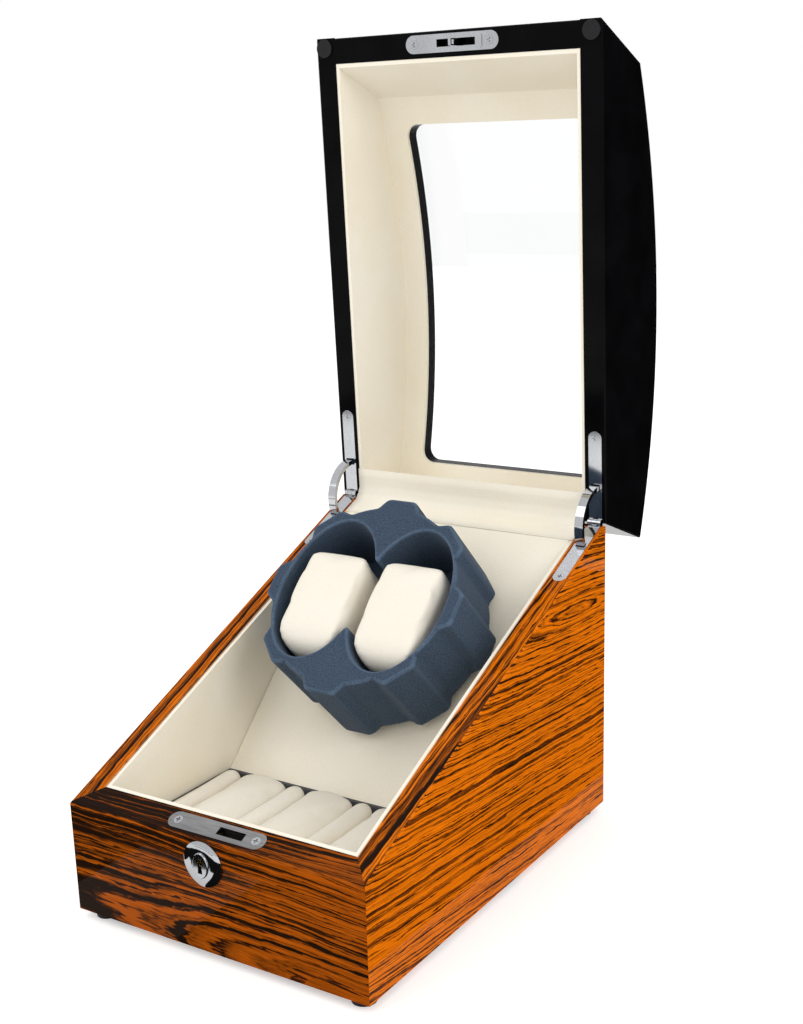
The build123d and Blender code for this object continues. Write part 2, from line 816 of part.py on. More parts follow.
escutcheon_plane = case_front(0, key_x, escutcheon_height)
with BuildPart() as escutcheon:
    with BuildSketch(Plane(origin=escutcheon_plane.origin, x_dir=(1, 0, 0), z_dir=(0, 0, 1))):
        with BuildLine():
            rim_point = (escutcheon_radius, -escutcheon_edge)
            crown_point = (escutcheon_dish, -escutcheon_crown)
            bulge_x = (escutcheon_radius + escutcheon_dish) / 2
            bulge_y = -(escutcheon_edge + escutcheon_crown) / 2 - escutcheon_bulge
            Polyline((0, 0), (escutcheon_radius, 0), rim_point)
            ThreePointArc(rim_point, (bulge_x, bulge_y), crown_point)
            Polyline(crown_point, (0, -escutcheon_crown), (0, 0))
        make_face()
    revolve(axis=Axis(escutcheon_plane.origin, (0, 1, 0)))
    with BuildSketch(escutcheon_plane):
        Ellipse(*escutcheon_lip)
    extrude(amount=escutcheon_proud)
    fillet(escutcheon.faces().sort_by(Axis.Y)[0].edges(), radius=escutcheon_lip_round)
    with BuildSketch(escutcheon_plane):
        with Locations((0, keyhole_height)):
            Circle(keyhole_radius)
        with BuildLine():
            Polyline(
                (-keyhole_neck, keyhole_neck),
                (keyhole_neck, keyhole_neck),
                (keyhole_flare, -keyhole_foot),
                (-keyhole_flare, -keyhole_foot),
                close=True,
            )
        make_face()
    extrude(amount=escutcheon_proud, mode=Mode.SUBTRACT)
export(escutcheon.part, "escutcheon")

# Case halves of the hinges, their pins and arms
for side, x in (("left", -hinge_x), ("right", hinge_x)):
    export(hinge_leaf(case_along, case_into, x, outer_knuckles=False), f"case_hinge_leaf_{side}")
    export(hinge_leaf(lid_along, lid_into, x, outer_knuckles=True), f"lid_hinge_leaf_{side}")
    with BuildPart() as hinge_arm:
        arm_plane = hinge_side(case_along, case_into, x)
        arm_start = arm_engaged
        arm_size = -(open_angle + 2 * arm_engaged)
        arm_face = sector(arm_plane, arm_radius, arm_thickness, arm_start, arm_size)
        extrude(arm_face, amount=arm_width / 2, both=True)
        for head in (arm_start - arm_head_angle, arm_start + arm_size):
            head_face = sector(arm_plane, arm_radius, arm_thickness, head, arm_head_angle)
            extrude(head_face, amount=arm_head_width / 2, both=True)
    export(hinge_arm.part, f"hinge_arm_{side}")

with BuildPart() as hinge_pins:
    for x in (-hinge_x, hinge_x):
        with BuildSketch(Plane.YZ.offset(x)):
            with Locations((pivot.Y, pivot.Z)):
                Circle(pin_radius - running_fit)
        extrude(amount=leaf_width / 2, both=True)
export(hinge_pins.part, "hinge_pins")

with BuildPart() as case_screws:
    for x in (-hinge_x, hinge_x):
        add(cross_screw(screw_plane(case_along, case_into, x)))
    for plane in lock_screw_planes:
        add(cross_screw(plane))
export(case_screws.part, "case_screws")

# Leather flap over the rims at the hinge
flap_end = (wall + lining) / cos(slope)
panel_below_rim = front_height - panel_foot_height + panel_foot_depth * panel_rise
panel_meets_rim = panel_below_rim / (panel_rise - tan(slope))
case_flap_end = (case_depth - panel_meets_rim) / cos(slope)
with BuildPart() as case_flap:
    with BuildSketch(hinge_side(case_along, case_into, -inner_half)):
        with Locations(((leaf_start + case_flap_end) / 2, rim_offset - flap_thickness / 2)):
            Rectangle(case_flap_end - leaf_start, flap_thickness)
    extrude(amount=2 * inner_half)
export(case_flap.part, "case_flap")

with BuildPart() as lid_flap:
    with BuildSketch(hinge_side(lid_along, lid_into, inner_half)):
        with Locations(((leaf_start + flap_end) / 2, rim_offset - flap_thickness / 2)):
            Rectangle(flap_end - leaf_start, flap_thickness)
    extrude(amount=2 * inner_half)
export(lid_flap.part, "lid_flap")

# Lid boards
for side, x, edge in (("left", -inner_half, 0), ("right", half_width, -1)):
    with BuildPart() as lid_wall:
        extrude(lid_region(x, 0, case_depth, rim_offset, bow_radius), amount=wall)
        chamfer(lid_wall.faces().sort_by(Axis.X)[edge].edges(), length=edge_bevel)
        hinge_at = hinge_x if side == "right" else -hinge_x
        pocket = arm_engaged + (1 - arm_share) * open_angle + arm_pocket_spare
        add(hinge_cutter(lid_along, lid_into, hinge_at, pocket), mode=Mode.SUBTRACT)
    export(lid_wall.part, f"lid_{side}_wall")

strike_planes = [
    Plane(origin=lid_rim.from_local_coords((x, lock_along, 0)), x_dir=(1, 0, 0), z_dir=lid_rim.z_dir)
    for x in (-lock_screw_x, lock_screw_x)
]
strike_middle = (0, lock_along)
strike_windows = (strike_window_left, (tongue_x + tongue_thickness / 2, strike_window_end))
strike_span = strike_window_end - strike_window_left[0]
strike_span_middle = (strike_window_left[0] + strike_span / 2, lock_along)

with BuildPart() as lid_front_rail:
    extrude(
        lid_region(inner_half, case_depth - wall, case_depth, rim_offset, under_board),
        amount=2 * inner_half,
    )
    rail_rim_edges = lid_front_rail.edges().filter_by(Axis.X).sort_by(Axis.Y)[:2]
    chamfer(rail_rim_edges.sort_by(Axis.Z)[-1], length=edge_bevel)
    with BuildSketch(lid_rim):
        with Locations(strike_middle):
            SlotOverall(lock_plate_length + 2 * seat_gap, lock_plate_width + 2 * seat_gap)
    extrude(amount=-strike_thickness, mode=Mode.SUBTRACT)
    with BuildSketch(lid_rim):
        with Locations(strike_span_middle):
            Rectangle(strike_span + 2 * strike_pocket_margin, lock_slot_width + 2 * strike_pocket_margin)
    extrude(amount=-strike_pocket_depth, mode=Mode.SUBTRACT)
    for plane in strike_planes:
        add(screw_shape(plane, drill_fit), mode=Mode.SUBTRACT)
export(lid_front_rail.part, "lid_front_rail")

with BuildPart() as lid_rear_rail:
    extrude(lid_region(inner_half, 0, wall, rim_offset, under_board), amount=2 * inner_half)
export(lid_rear_rail.part, "lid_rear_rail")

# Window
window_plane = Plane(origin=pivot, x_dir=(1, 0, 0), z_dir=lid_into * -1)
window_middle = (0, (window_start + window_end) / 2)
window_length = window_end - window_start


def window_pane(grow):
    """The bowed pane, or the rebate for it in the lid's top board."""
    with BuildPart() as pane:
        pane_inside = bow_radius - pane_thickness - grow
        extrude(
            lid_region(inner_half, 0, case_depth, rim_offset, bow_radius + grow, pane_inside),
            amount=2 * inner_half,
        )
        with BuildSketch(window_plane) as outline:
            with Locations(window_middle):
                RectangleRounded(
                    window_width + 2 * (pane_lip + grow),
                    window_length + 2 * (pane_lip + grow),
                    window_corner + pane_lip,
                )
        extrude(outline.sketch, amount=-2 * (lid_end_depth + lid_crown), mode=Mode.INTERSECT)
    return pane.part


export(window_pane(0.0), "lid_window")

with BuildPart() as lid_bowed_board:
    extrude(
        lid_region(inner_half, 0, case_depth, rim_offset, bow_radius, bow_radius - lid_board),
        amount=2 * inner_half,
    )
    add(window_pane(seat_gap), mode=Mode.SUBTRACT)
    with BuildSketch(window_plane):
        with Locations(window_middle):
            RectangleRounded(window_width, window_length, window_corner)
    extrude(amount=-2 * (lid_end_depth + lid_crown), mode=Mode.SUBTRACT)
export(lid_bowed_board.part, "lid_bowed_board")

# Lid linings
lining_low = rim_offset + soft_gap
for side, x in (("left", -lined_half), ("right", inner_half)):
    with BuildPart() as lid_side_lining:
        extrude(lid_region(x, wall, case_depth - wall, lining_low, under_board), amount=lining)
    export(lid_side_lining.part, f"lid_{side}_lining")

for end, first in (("rear", wall), ("front", case_depth - wall - lining)):
    with BuildPart() as lid_end_lining:
        extrude(lid_region(lined_half, first, first + lining, lining_low, under_board), amount=2 * lined_half)
    export(lid_end_lining.part, f"lid_{end}_lining")

with BuildPart() as lid_top_lining:
    extrude(
        lid_region(
            lined_half,
            wall + lining,
            case_depth - wall - lining,
            lining_low,
            under_board,
            under_board - lining,
        ),
        amount=2 * lined_half,
    )
    with BuildSketch(window_plane):
        with Locations(window_middle):
            RectangleRounded(window_width, window_length, window_corner)
    extrude(amount=-2 * (lid_end_depth + lid_crown), mode=Mode.SUBTRACT)
export(lid_top_lining.part, "lid_top_lining")

# Lid fittings
with BuildPart() as strike_plate:
    with BuildSketch(lid_rim):
        with Locations(strike_middle):
            SlotOverall(lock_plate_length, lock_plate_width)
    extrude(amount=-strike_thickness)
    with BuildSketch(lid_rim):
        with Locations(strike_span_middle):
            RectangleRounded(strike_span + 2 * strike_boss_margin, strike_boss_width, strike_boss_corner)
    extrude(amount=strike_boss_height)
    with BuildSketch(lid_rim.offset(strike_boss_height)):
        for start, end in strike_windows:
            with Locations(((start + end) / 2, lock_along)):
                Rectangle(end - start, strike_window_width)
    extrude(amount=-2 * strike_thickness, mode=Mode.SUBTRACT)
    tongue_foot = lid_rim.from_local_coords((tongue_x, lock_along, 0))
    with BuildSketch(Plane(origin=tongue_foot, x_dir=lid_rim.z_dir, z_dir=(1, 0, 0))):
        tongue_length = rim_gap + tongue_reach
        with Locations((tongue_length / 2 - strike_thickness / 2, 0)):
            Rectangle(tongue_length + strike_thickness, tongue_width)
        with Locations((rim_gap + bolt_depth, 0)):
            Rectangle(tongue_eye, tongue_eye, mode=Mode.SUBTRACT)
    extrude(amount=tongue_thickness / 2, both=True)
    for plane in strike_planes:
        add(screw_shape(plane, drill_fit), mode=Mode.SUBTRACT)
export(strike_plate.part, "strike_plate")

with BuildPart() as lid_screws:
    for x in (-hinge_x, hinge_x):
        add(cross_screw(screw_plane(lid_along, lid_into, x)))
    for plane in strike_planes:
        add(cross_screw(plane))
export(lid_screws.part, "lid_screws")

with BuildPart() as rim_bumpers:
    with BuildSketch(lid_rim):
        with Locations((-bumper_x, bumper_along), (bumper_x, bumper_along)):
            Circle(bumper_radius)
    extrude(amount=bumper_thickness)
export(rim_bumpers.part, "rim_bumpers")

# Drum
with BuildPart() as drum_foam:
    with BuildSketch(drum_plane.offset(drum_standoff)) as drum_outline:
        Circle(valley_radius)
        flank_angle = radians(180 / drum_lobes - valley_half_angle)
        crest_angle = radians(lobe_half_angle)
        with PolarLocations(0, drum_lobes):
            Polygon(
                (valley_radius * cos(flank_angle) - valley_round, -valley_radius * sin(flank_angle)),
                (valley_radius * cos(flank_angle), -valley_radius * sin(flank_angle)),
                (lobe_radius * cos(crest_angle), -lobe_radius * sin(crest_angle)),
                (lobe_radius * cos(crest_angle), lobe_radius * sin(crest_angle)),
                (valley_radius * cos(flank_angle), valley_radius * sin(flank_angle)),
                (valley_radius * cos(flank_angle) - valley_round, valley_radius * sin(flank_angle)),
                align=None,
            )
        crest_corners = drum_outline.vertices().filter_by(lambda v: hypot(v.X, v.Y) > lobe_radius - 1)
        fillet(crest_corners, radius=lobe_round)
        valley_corners = drum_outline.vertices().filter_by(lambda v: hypot(v.X, v.Y) < valley_radius + 0.1)
        fillet(valley_corners, radius=valley_round)
    extrude(amount=drum_thickness)
    with BuildSketch(drum_plane.offset(drum_front)) as pockets:
        with Locations((-pocket_x, 0), (pocket_x, 0)):
            Ellipse(pocket_half_width, pocket_half_length)
        fillet(pockets.vertices().filter_by(lambda v: abs(v.X) < 1), radius=cusp_round)
    extrude(amount=-pocket_depth, mode=Mode.SUBTRACT)
    drum_axis = Axis(drum_plane.origin, drum_plane.z_dir)
    chamfer(drum_foam.faces().sort_by(drum_axis)[-1].outer_wire().edges(), length=foam_edge)
    chamfer(drum_foam.faces().sort_by(drum_axis)[-1].inner_wires()[0].edges(), length=pocket_edge)
export(drum_foam.part, "drum_foam")

with BuildPart() as drum_hub:
    with BuildSketch(drum_plane.offset(drum_standoff)):
        Circle(hub_radius)
    extrude(amount=-hub_thickness)
    with BuildSketch(drum_plane.offset(drum_standoff - hub_thickness)):
        Circle(hub_boss_radius)
    extrude(amount=bush_flange_thickness + soft_gap + hub_thickness - drum_standoff)
    with BuildSketch(drum_plane.offset(drum_standoff - hub_thickness)):
        Circle(shaft_radius)
    extrude(amount=hub_thickness - drum_standoff + motor_level - shaft_end)
export(drum_hub.part, "drum_hub")

gear_level = -(panel_thickness + gear_start)
with BuildPart() as drum_gear:
    extrude(gear_face(drum_plane.offset(gear_level), gear_teeth, -90.0), amount=-gear_width)
    with BuildSketch(drum_plane.offset(gear_level)):
        Circle(shaft_radius + bush_wall)
    extrude(amount=gear_start - soft_gap)
    with BuildSketch(drum_plane):
        Circle(shaft_radius)
    extrude(amount=-2 * panel_thickness - gear_width, mode=Mode.SUBTRACT)
    with BuildSketch(drum_plane.offset(gear_level)):
        with PolarLocations(gear_hole_circle, gear_holes):
            Circle(gear_hole_radius)
    extrude(amount=-gear_width, mode=Mode.SUBTRACT)
export(drum_gear.part, "drum_gear")

motor_plane = Plane(
    origin=drum_plane.from_local_coords((0, -gear_distance, 0)), x_dir=(1, 0, 0), z_dir=drum_plane.z_dir
)
with BuildPart() as motor_pinion:
    half_pitch = 180 / pinion_teeth
    pinion_face = gear_face(
        motor_plane.offset(gear_level + pinion_overhang), pinion_teeth, 90.0 + half_pitch
    )
    extrude(pinion_face, amount=-gear_width - 2 * pinion_overhang)
    with BuildSketch(motor_plane.offset(gear_level)):
        Circle(motor_shaft_radius)
    extrude(amount=motor_level - gear_level - motor_shaft_depth)
export(motor_pinion.part, "motor_pinion")

standoff_places = [
    (x, plate_centre + y)
    for x in (standoff_inset - plate_width / 2, plate_width / 2 - standoff_inset)
    for y in (standoff_inset - plate_length / 2, plate_length / 2 - standoff_inset)
]
with BuildPart() as motor_plate:
    with BuildSketch(drum_plane.offset(plate_level)):
        with Locations((0, plate_centre)):
            RectangleRounded(plate_width, plate_length, plate_corner)
        Circle(shaft_radius + bush_wall, mode=Mode.SUBTRACT)
        with Locations((0, -gear_distance)):
            Circle(plate_shaft_hole, mode=Mode.SUBTRACT)
    extrude(amount=-plate_thickness)
export(motor_plate.part, "motor_plate")

with BuildPart() as plate_standoffs:
    with BuildSketch(drum_plane.offset(-panel_thickness)):
        with Locations(*standoff_places):
            Circle(standoff_radius)
    extrude(amount=-plate_distance)
export(plate_standoffs.part, "plate_standoffs")

with BuildPart() as gearmotor:
    with BuildSketch(motor_plane.offset(motor_level)):
        Circle(gearbox_radius)
    extrude(amount=-gearbox_length)
    with BuildSketch(motor_plane.offset(motor_level - gearbox_length)):
        Circle(motor_radius)
    extrude(amount=-motor_length)
    motor_end = gearmotor.faces().sort_by(Axis(motor_plane.origin, motor_plane.z_dir))[0]
    chamfer(motor_end.edges(), length=motor_edge)
    with BuildSketch(motor_plane.offset(motor_level)):
        Circle(motor_shaft_radius + running_fit)
    extrude(amount=-motor_bore_depth, mode=Mode.SUBTRACT)
export(gearmotor.part, "gearmotor")

# Watch pillows in the drum
pillow_middle = (pillow_top + pillow_bottom) / 2
pillow_length = pillow_top - pillow_bottom
pillow_back = pocket_floor + soft_gap
for side, x in (("left", -pocket_x), ("right", pocket_x)):
    with BuildPart() as pillow:
        with BuildSketch(drum_plane.offset(pillow_back)) as plan:
            with Locations((x, pillow_middle)):
                Rectangle(pillow_width, pillow_length)
            fillet(plan.vertices().sort_by(Axis.Y)[:2], radius=pillow_foot_corner)
            fillet(plan.vertices().sort_by(Axis.Y)[-2:], radius=pillow_head_corner)
        extrude(amount=drum_front - pillow_back + pillow_crown)
        profile_plane = Plane(
            origin=drum_plane.from_local_coords((x, 0, 0)), x_dir=drum_plane.y_dir, z_dir=(1, 0, 0)
        )
        with BuildSketch(profile_plane):
            with BuildLine():
                nose = (pillow_bottom, drum_front - pillow_nose_round)
                brow = (pillow_bottom + pillow_nose_round, drum_front)
                corner = (pillow_top - pillow_brow_round, drum_front)
                top = (pillow_top, drum_front - pillow_brow_round)
                Line((pillow_bottom, pillow_back), nose)
                RadiusArc(nose, brow, pillow_nose_round)
                ThreePointArc(brow, ((brow[0] + corner[0]) / 2, drum_front + pillow_crown), corner)
                RadiusArc(corner, top, pillow_brow_round)
                Line(top, (pillow_top, pillow_back))
                Line((pillow_top, pillow_back), (pillow_bottom, pillow_back))
            make_face()
        extrude(amount=pillow_width, both=True, mode=Mode.INTERSECT)
    export(pillow.part, f"watch_pillow_{side}")

# Controls at the back
plate_face = case_depth - control_plate
with BuildPart() as control_panel:
    with BuildSketch(case_front(case_depth, 0, control_height)):
        RectangleRounded(control_width, control_tall, control_lip)
        with Locations((socket_x, 0)):
            Circle(socket_radius + seat_gap, mode=Mode.SUBTRACT)
        with Locations((knob_x, 0)):
            Circle(knob_shaft_radius + running_fit, mode=Mode.SUBTRACT)
    extrude(amount=control_plate)
export(control_panel.part, "control_panel")

with BuildPart() as power_inlet:
    with BuildSketch(case_front(case_depth + socket_proud, socket_x, control_height)):
        Circle(socket_radius)
    extrude(amount=control_plate + socket_proud)
    with BuildSketch(case_front(plate_face, socket_x, control_height)):
        Rectangle(*socket_body)
    extrude(amount=board_distance)
    with BuildSketch(case_front(case_depth + socket_proud, socket_x, control_height)):
        Circle(jack_radius)
        Circle(jack_pin_radius, mode=Mode.SUBTRACT)
    extrude(amount=jack_depth, mode=Mode.SUBTRACT)
export(power_inlet.part, "power_inlet")

with BuildPart() as mode_switch:
    with BuildSketch(case_front(plate_face, knob_x, control_height)):
        Rectangle(switch_size, switch_size)
        Circle(knob_shaft_radius + running_fit, mode=Mode.SUBTRACT)
    extrude(amount=board_distance)
export(mode_switch.part, "mode_switch")

with BuildPart() as mode_knob:
    with BuildSketch(case_front(case_depth + soft_gap + knob_length, knob_x, control_height)):
        Circle(knob_radius)
    extrude(amount=knob_length)
    chamfer(mode_knob.faces().sort_by(Axis.Y)[-1].edges(), length=knob_edge)
    with BuildSketch(case_front(case_depth + soft_gap, knob_x, control_height)):
        Circle(knob_shaft_radius)
    extrude(amount=soft_gap + control_plate + knob_shaft_depth)
    with BuildSketch(case_front(case_depth + soft_gap + knob_length, knob_x, control_height)):
        with Locations((0, knob_radius - knob_edge - knob_mark[1] / 2)):
            Rectangle(*knob_mark)
    extrude(amount=knob_mark_depth, mode=Mode.SUBTRACT)
export(mode_knob.part, "mode_knob")

with BuildPart() as circuit_board:
    with BuildSketch(case_front(plate_face - board_distance, 0, control_height)):
        Rectangle(
            control_width - 2 * (control_lip + board_clear), control_tall - 2 * (control_lip + board_clear)
        )
    extrude(amount=board_thickness)
export(circuit_board.part, "circuit_board")
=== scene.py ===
from math import cos, radians, sin

import bmesh
import bpy
from mathutils import Matrix, Vector


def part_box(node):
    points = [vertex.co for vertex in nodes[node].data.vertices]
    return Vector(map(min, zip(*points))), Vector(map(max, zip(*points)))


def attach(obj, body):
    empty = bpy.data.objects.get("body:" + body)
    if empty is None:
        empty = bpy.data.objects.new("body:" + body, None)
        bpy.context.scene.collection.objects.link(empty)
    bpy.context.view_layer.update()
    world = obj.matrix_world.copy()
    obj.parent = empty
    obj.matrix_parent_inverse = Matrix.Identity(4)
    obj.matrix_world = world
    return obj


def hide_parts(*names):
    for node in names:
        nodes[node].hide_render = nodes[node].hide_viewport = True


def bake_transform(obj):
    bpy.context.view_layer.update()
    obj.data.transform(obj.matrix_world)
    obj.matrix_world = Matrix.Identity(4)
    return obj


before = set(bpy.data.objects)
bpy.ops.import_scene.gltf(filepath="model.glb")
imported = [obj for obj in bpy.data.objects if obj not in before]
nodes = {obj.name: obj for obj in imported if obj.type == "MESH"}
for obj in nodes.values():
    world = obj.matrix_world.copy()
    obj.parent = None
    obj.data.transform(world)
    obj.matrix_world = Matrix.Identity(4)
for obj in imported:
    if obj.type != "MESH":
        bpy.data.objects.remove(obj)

scene = bpy.context.scene
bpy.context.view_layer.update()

# Camera: a 50 mm lens in front of the winder and to its right, above the drum, turned, tilted and
# shifted as the case's corners in the photograph give it.
camera_place = (0.4197, -0.6140, 0.3703)
camera_turn, camera_rise, camera_roll = radians(31.61), radians(14.93), radians(-1.20)
camera_back = Vector(
    (sin(camera_turn) * cos(camera_rise), -cos(camera_turn) * cos(camera_rise), sin(camera_rise))
)
level_right = Vector((cos(camera_turn), sin(camera_turn), 0))
level_up = camera_back.cross(level_right)
camera_right = level_right * cos(camera_roll) + level_up * sin(camera_roll)
camera_up = level_up * cos(camera_roll) - level_right * sin(camera_roll)
camera_axes = Matrix((camera_right, camera_up, camera_back)).transposed().to_4x4()
camera = bpy.data.objects.new("camera", bpy.data.cameras.new("camera"))
camera.data.lens = 50.0
camera.data.sensor_width = 36.0
camera.data.shift_x = -0.0463
camera.data.shift_y = 0.0305
camera.matrix_world = Matrix.Translation(camera_place) @ camera_axes
scene.collection.objects.link(camera)
scene.camera = camera
scene.view_settings.view_transform = "Standard"


# Floor and light: a pale paper floor in a white room, which the camera, the gloss and the pane see
# as white, with two broad soft lamps, one at the front left and one at the right.
def add_node(tree, kind, inputs=None, **settings):
    node = tree.nodes.new(kind)
    for name, value in settings.items():
        setattr(node, name, value)
    for name, value in (inputs or {}).items():
        if isinstance(value, bpy.types.NodeSocket):
            tree.links.new(value, node.inputs[name])
        else:
            node.inputs[name].default_value = value
    return node


def reckoned(tree, operation, *terms):
    return add_node(tree, "ShaderNodeMath", dict(enumerate(terms)), operation=operation).outputs[0]


def between(tree, share, first, second, kind="RGBA"):
    ends = {"Factor": share, "A": first, "B": second}
    return add_node(tree, "ShaderNodeMix", ends, data_type=kind).outputs["Result"]


def seen_directly(tree):
    rays = add_node(tree, "ShaderNodeLightPath").outputs
    seen = reckoned(tree, "MAXIMUM", rays["Is Camera Ray"], rays["Is Glossy Ray"])
    return reckoned(tree, "MAXIMUM", seen, rays["Is Transmission Ray"])


def bare_material(name):
    material = bpy.data.materials.new(name)
    material.use_nodes = True
    material.node_tree.nodes.clear()
    return material, material.node_tree


def laid_sheet(name, place, size, tilt, material):
    shape = bmesh.new()
    bmesh.ops.create_grid(shape, x_segments=1, y_segments=1, size=0.5)
    mesh = bpy.data.meshes.new(name)
    shape.to_mesh(mesh)
    shape.free()
    turned = Matrix.Rotation(radians(tilt), 4, "X")
    mesh.transform(Matrix.Translation(place) @ turned @ Matrix.Diagonal((*size, 1, 1)))
    mesh.materials.append(material)
    sheet = bpy.data.objects.new(name, mesh)
    scene.collection.objects.link(sheet)
    return sheet


white = (1, 1, 1, 1)
room_light = 0.93
room = bpy.data.worlds.new("white_room")
scene.world = room
room.use_nodes = True
room_tree = room.node_tree
room_tree.nodes.clear()
room_strength = reckoned(
    room_tree, "MULTIPLY_ADD", seen_directly(room_tree), 1.0 - room_light, room_light
)
room_face = add_node(room_tree, "ShaderNodeBackground", {"Color": white, "Strength": room_strength})
add_node(room_tree, "ShaderNodeOutputWorld", {"Surface": room_face.outputs[0]})

lamp_aim = Vector((0, 0, 0.18))
for lamp_name, lamp_place, lamp_size, lamp_power in (
    ("front_left_lamp", Vector((-0.75, -1.45, 1.55)), 1.1, 7.0),
    ("right_lamp", Vector((1.70, -0.55, 1.10)), 0.9, 8.0),
):
    lamp = bpy.data.objects.new(lamp_name, bpy.data.lights.new(lamp_name, "AREA"))
    lamp.data.size = lamp_size
    lamp.data.energy = lamp_power
    lamp.data.color = (1.0, 0.985, 0.96)
    lamp.location = lamp_place
    lamp.rotation_euler = (lamp_place - lamp_aim).to_track_quat("Z", "Y").to_euler()
    scene.collection.objects.link(lamp)

floor_glow = 0.40
floor_paper, floor_tree = bare_material("floor_paper")
paper_fleck = add_node(floor_tree, "ShaderNodeTexNoise", {"Scale": 40.0, "Detail": 3.0})
paper_tint = between(
    floor_tree, paper_fleck.outputs["Fac"], (0.86, 0.86, 0.85, 1), (0.89, 0.89, 0.88, 1)
)
paper_face = add_node(floor_tree, "ShaderNodeBsdfDiffuse", {"Color": paper_tint})
glow_strength = reckoned(floor_tree, "MULTIPLY", seen_directly(floor_tree), floor_glow)
paper_glow = add_node(floor_tree, "ShaderNodeEmission", {"Color": white, "Strength": glow_strength})
paper = add_node(
    floor_tree, "ShaderNodeAddShader", {0: paper_face.outputs[0], 1: paper_glow.outputs[0]}
)
add_node(floor_tree, "ShaderNodeOutputMaterial", {"Surface": paper.outputs[0]})
studio_floor = laid_sheet("studio_floor", (0, 0, 0), (8.0, 8.0), 0.0, floor_paper)

# Dark cards: felt cards laid around the winder, and one stood behind it at the right, which only
# glossy rays see, so that the veneer, the lacquer and the chrome have something dark to mirror.
black_felt, felt_tree = bare_material("black_felt")
felt_face = add_node(felt_tree, "ShaderNodeBsdfDiffuse", {"Color": (0.01, 0.01, 0.01, 1)})
add_node(felt_tree, "ShaderNodeOutputMaterial", {"Surface": felt_face.outputs[0]})
dark_cards = [
    laid_sheet(card_name, card_place, card_size, card_tilt, black_felt)
    for card_name, card_place, card_size, card_tilt in (
        ("front_card", (-0.10, -0.30, 0.002), (0.40, 0.145), 0.0),
        ("front_right_card", (0.035, -0.193, 0.002), (0.13, 0.069), 0.0),
        ("front_left_card", (-0.21, -0.193, 0.002), (0.19, 0.069), 0.0),
        ("low_card", (-0.42, -0.80, 0.004), (0.60, 0.22), 0.0),
        ("right_card", (0.26, 0.20, 0.002), (0.30, 0.68), 0.0),
        ("rear_card", (0.50, 0.55, 0.46), (0.70, 0.90), 90.0),
    )
]
for card in dark_cards:
    card.visible_camera = card.visible_diffuse = card.visible_shadow = False
    card.visible_transmission = False


# Case boards: MDF mitred at the corners and faced with a striped exotic veneer, whose dark and
# orange growth rings run nearly level, under several coats of polished clear lacquer.
def new_group(name, inputs, outputs):
    group = bpy.data.node_groups.new(name, "ShaderNodeTree")
    for label, kind, value in inputs:
        socket = group.interface.new_socket(name=label, in_out="INPUT", socket_type=kind)
        if value is not None:
            socket.default_value = value
    for label, kind in outputs:
        group.interface.new_socket(name=label, in_out="OUTPUT", socket_type=kind)
    entry = add_node(group, "NodeGroupInput").outputs
    return group, entry, add_node(group, "NodeGroupOutput").inputs


def in_group(tree, group, **inputs):
    values = {label.replace("_", " "): value for label, value in inputs.items()}
    return add_node(tree, "ShaderNodeGroup", values, node_tree=group).outputs


def clouds(tree, place, scale, detail):
    settings = {"Vector": place, "Scale": scale, "Detail": detail}
    return add_node(tree, "ShaderNodeTexNoise", settings).outputs["Fac"]


def multiplied(tree, first, second):
    return add_node(tree, "ShaderNodeVectorMath", {0: first, 1: second}, operation="MULTIPLY").outputs[0]


def grain_clouds(tree, place, along, across, detail):
    return clouds(tree, multiplied(tree, place, (along, across, across)), 1.0, detail)


def ring_streaks(tree, count, detail, roughness=0.5):
    settings = {"W": count, "Scale": 1.0, "Detail": detail, "Roughness": roughness}
    return add_node(tree, "ShaderNodeTexNoise", settings, noise_dimensions="1D").outputs["Fac"]


def ranged(tree, value, low, high, at_low=0.0, at_high=1.0, kind="LINEAR"):
    ends = {"Value": value, "From Min": low, "From Max": high, "To Min": at_low, "To Max": at_high}
    return add_node(tree, "ShaderNodeMapRange", ends, interpolation_type=kind).outputs[0]


def new_finish(name, **shader_values):
    material = bpy.data.materials.new(name)
    material.use_nodes = True
    tree = material.node_tree
    shader = tree.nodes["Principled BSDF"]
    for label, value in shader_values.items():
        shader.inputs[label.replace("_", " ")].default_value = value
    return material, tree, shader


def bump_into(tree, shader, height, strength, distance):
    settings = {"Strength": strength, "Distance": distance, "Height": height}
    bump = add_node(tree, "ShaderNodeBump", settings)
    tree.links.new(bump.outputs["Normal"], shader.inputs["Normal"])


def dress(material, *names):
    for name in names:
        nodes[name].material_slots[0].material = material


veneer, veneer_in, veneer_out = new_group(
    "veneer_figure",
    (
        ("Vector", "NodeSocketVector", None),
        ("Stretch", "NodeSocketFloat", 0.12),
        ("Stripes", "NodeSocketFloat", 460.0),
        ("Wander", "NodeSocketFloat", 0.006),
        ("Raggedness", "NodeSocketFloat", 0.0021),
        ("Depth of tone", "NodeSocketFloat", 0.0),
        ("Bright", "NodeSocketColor", (0.75, 0.17, 0.003, 1)),
        ("Middle", "NodeSocketColor", (0.25, 0.055, 0.003, 1)),
        ("Dark", "NodeSocketColor", (0.014, 0.006, 0.003, 1)),
    ),
    (("Color", "NodeSocketColor"), ("Height", "NodeSocketFloat")),
)
wood_place = veneer_in["Vector"]
axes = add_node(veneer, "ShaderNodeSeparateXYZ", {0: wood_place}).outputs
along_grain = reckoned(veneer, "MULTIPLY", axes["X"], veneer_in["Stretch"])
ring_place = add_node(veneer, "ShaderNodeCombineXYZ", {"X": along_grain, "Y": axes["Y"]})
ring_distance = add_node(
    veneer, "ShaderNodeVectorMath", {0: ring_place.outputs[0]}, operation="LENGTH"
).outputs["Value"]
slow_bends = grain_clouds(veneer, wood_place, along=11.0, across=42.0, detail=2.0)
wandered = reckoned(veneer, "MULTIPLY_ADD", slow_bends, veneer_in["Wander"], ring_distance)
